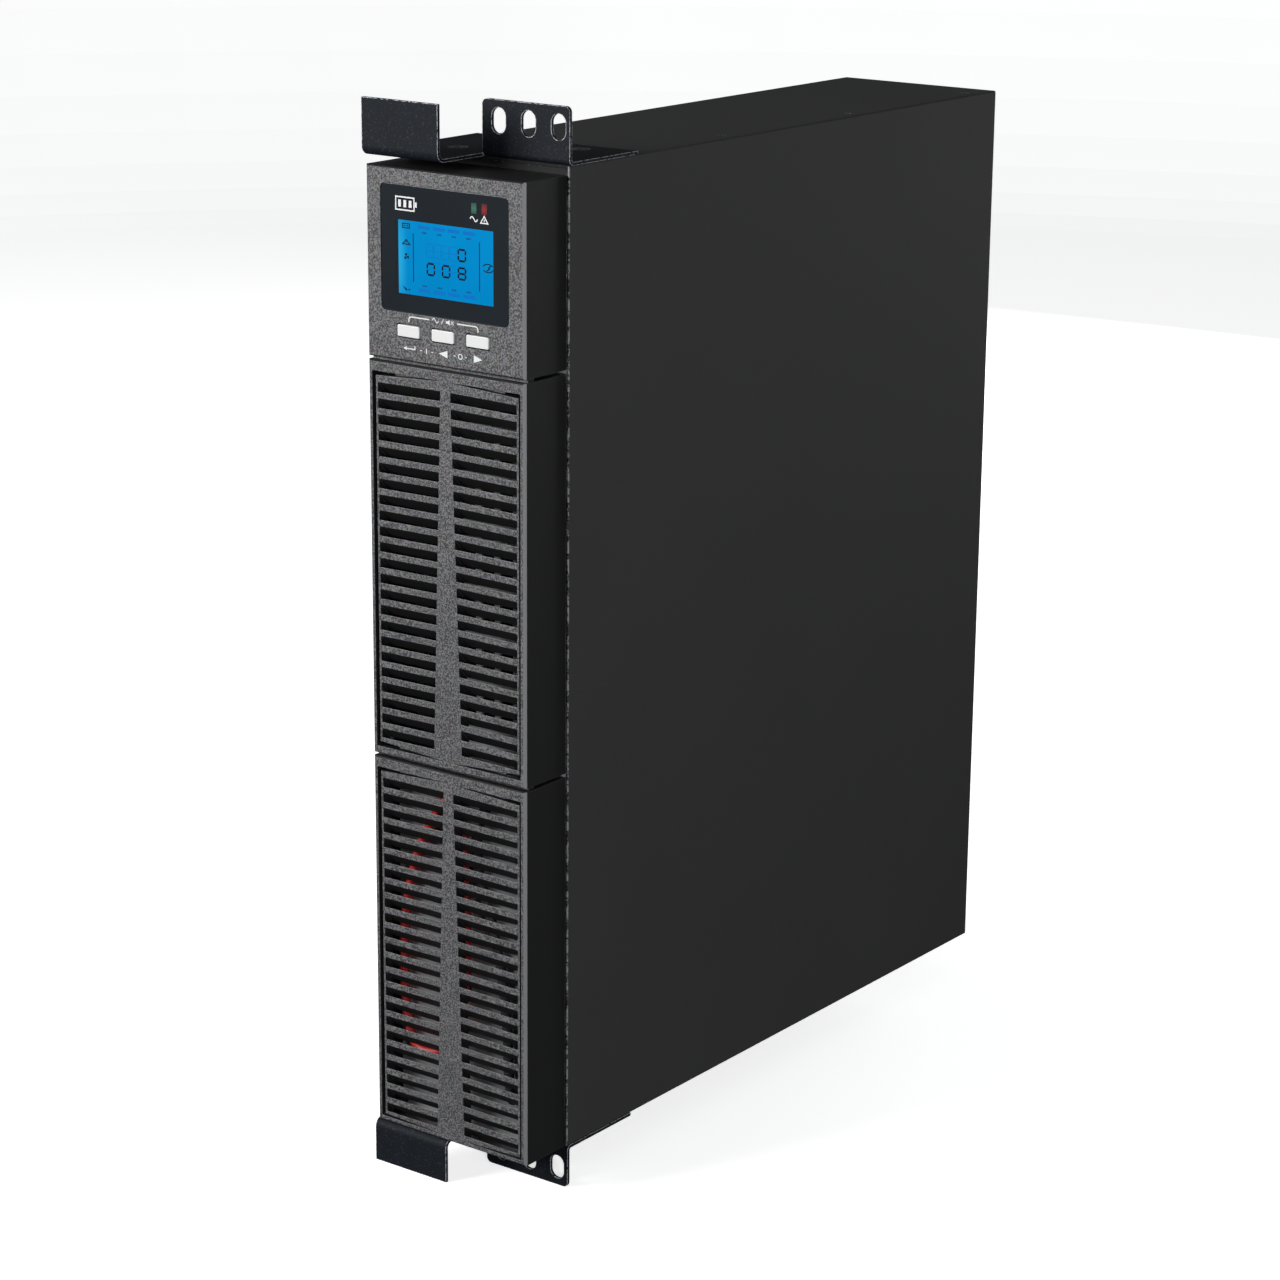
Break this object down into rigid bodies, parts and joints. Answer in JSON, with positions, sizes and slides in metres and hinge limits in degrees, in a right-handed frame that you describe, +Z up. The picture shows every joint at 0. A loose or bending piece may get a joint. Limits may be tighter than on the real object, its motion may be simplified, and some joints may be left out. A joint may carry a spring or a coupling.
{
  "type": "uninterruptible power supply",
  "caption": "Flat rack and tower uninterruptible power supply standing on edge, with a display module, louvred front covers, a battery drawer and two Z-shaped rack ears",
  "frame": {"origin": "on the floor plane, below the middle of the bounding box of the unit standing on its lower ear", "axes": "+X across the two-unit thickness towards the right-hand cover, -Y is the front with the display, +Z up along the 19 inch width"},
  "size_m": [0.088, 0.3746, 0.4826],
  "materials": {
    "chassis_black": "fine semi-matt black powder coat",
    "ear_black": "blue-black speckled powder coat, worn bright at the cut edges",
    "bare_steel": "bare zinc-plated sheet steel",
    "screws": "blackened steel",
    "bezel": "charcoal speckled moulded plastic",
    "window": "smoked clear acrylic",
    "lcd": "blue backlit liquid crystal panel",
    "led_green": "green indicator",
    "led_red": "red indicator",
    "keys": "white key caps",
    "dark_plastic": "black moulded plastic",
    "board": "green circuit board",
    "battery_case": "black ABS battery case",
    "contact": "tinned brass contact",
    "cable_red": "red cable jacket",
    "cable_black": "black cable jacket",
    "heatsink": "extruded aluminium",
    "capacitor": "sleeved can",
    "choke": "enamelled copper winding",
    "relay": "moulded relay case",
    "chrome_wire": "bright plated wire",
    "connector_metal": "nickel-plated shell",
    "terminal_green": "green terminal block"
  },
  "bodies": {
    "chassis": {"chassis_tray": "chassis_black", "side_cover": "chassis_black", "front_panel": "bare_steel", "bay_divider": "bare_steel", "rear_panel": "chassis_black", "rack_ear_upper": "ear_black", "rack_ear_lower": "ear_black", "ear_screws": "screws", "cover_screws": "screws", "rear_screws": "screws", "power_board": "board", "board_standoffs": "contact", "heatsinks": "heatsink", "bus_capacitors": "capacitor", "chokes": "choke", "relays": "relay", "control_board": "board", "fan_frame": "dark_plastic", "fan_guard": "chrome_wire", "fan_screws": "screws", "ac_inlet": "dark_plastic", "inlet_pins": "contact", "outlets": "dark_plastic", "breaker_body": "dark_plastic", "serial_port": "connector_metal", "usb_port": "connector_metal", "network_ports": "dark_plastic", "epo_terminal": "terminal_green", "slot_cover": "chassis_black", "battery_port_cover": "chassis_black", "ground_screw": "connector_metal"},
    "display_module": {"display_housing": "bezel", "display_window": "window", "lcd_holder": "dark_plastic", "lcd_glass": "lcd", "led_green": "led_green", "led_red": "led_red", "display_board": "board", "key_switches": "dark_plastic", "display_back_cover": "dark_plastic"},
    "key_left": {"key_left": "keys"},
    "key_middle": {"key_middle": "keys"},
    "key_right": {"key_right": "keys"},
    "middle_cover": {"middle_cover_frame": "bezel", "middle_grille": "bezel"},
    "battery_drawer": {"battery_drawer": "bare_steel", "battery_1": "battery_case", "battery_2": "battery_case", "battery_3": "battery_case", "battery_terminals": "contact", "battery_retainer": "bare_steel", "battery_cable_red": "cable_red", "battery_cable_black": "cable_black", "battery_connector": "dark_plastic"},
    "lower_cover": {"lower_cover_frame": "bezel", "lower_grille": "bezel"},
    "fan_rotor": {"fan_rotor": "dark_plastic"},
    "breaker_button": {"breaker_button": "dark_plastic"}
  },
  "joints": [
    {"name": "display_pull", "type": "slide", "parent": "chassis", "child": "display_module", "axis": [0, -1, 0], "range_m": [0, 0.04]},
    {"name": "key_left_press", "type": "slide", "parent": "display_module", "child": "key_left", "axis": [0, 1, 0], "range_m": [0, 0.0012], "stiffness_N_per_m": 400, "springref_m": -0.0004},
    {"name": "key_middle_press", "type": "slide", "parent": "display_module", "child": "key_middle", "axis": [0, 1, 0], "range_m": [0, 0.0012], "stiffness_N_per_m": 400, "springref_m": -0.0004},
    {"name": "key_right_press", "type": "slide", "parent": "display_module", "child": "key_right", "axis": [0, 1, 0], "range_m": [0, 0.0012], "stiffness_N_per_m": 400, "springref_m": -0.0004},
    {"name": "middle_cover_pull", "type": "slide", "parent": "chassis", "child": "middle_cover", "axis": [0, -1, 0], "range_m": [0, 0.04]},
    {"name": "battery_drawer_slide", "type": "slide", "parent": "chassis", "child": "battery_drawer", "axis": [0, -1, 0], "range_m": [0, 0.26]},
    {"name": "lower_cover_pull", "type": "slide", "parent": "battery_drawer", "child": "lower_cover", "axis": [0, -1, 0], "range_m": [0, 0.04]},
    {"name": "fan_spin", "type": "hinge", "parent": "chassis", "child": "fan_rotor", "pos_m": [0, 0.1656, 0.414], "axis": [0, 1, 0], "continuous": true},
    {"name": "breaker_trip", "type": "slide", "parent": "chassis", "child": "breaker_button", "axis": [0, 1, 0], "range_m": [0, 0.004]}
  ]
}
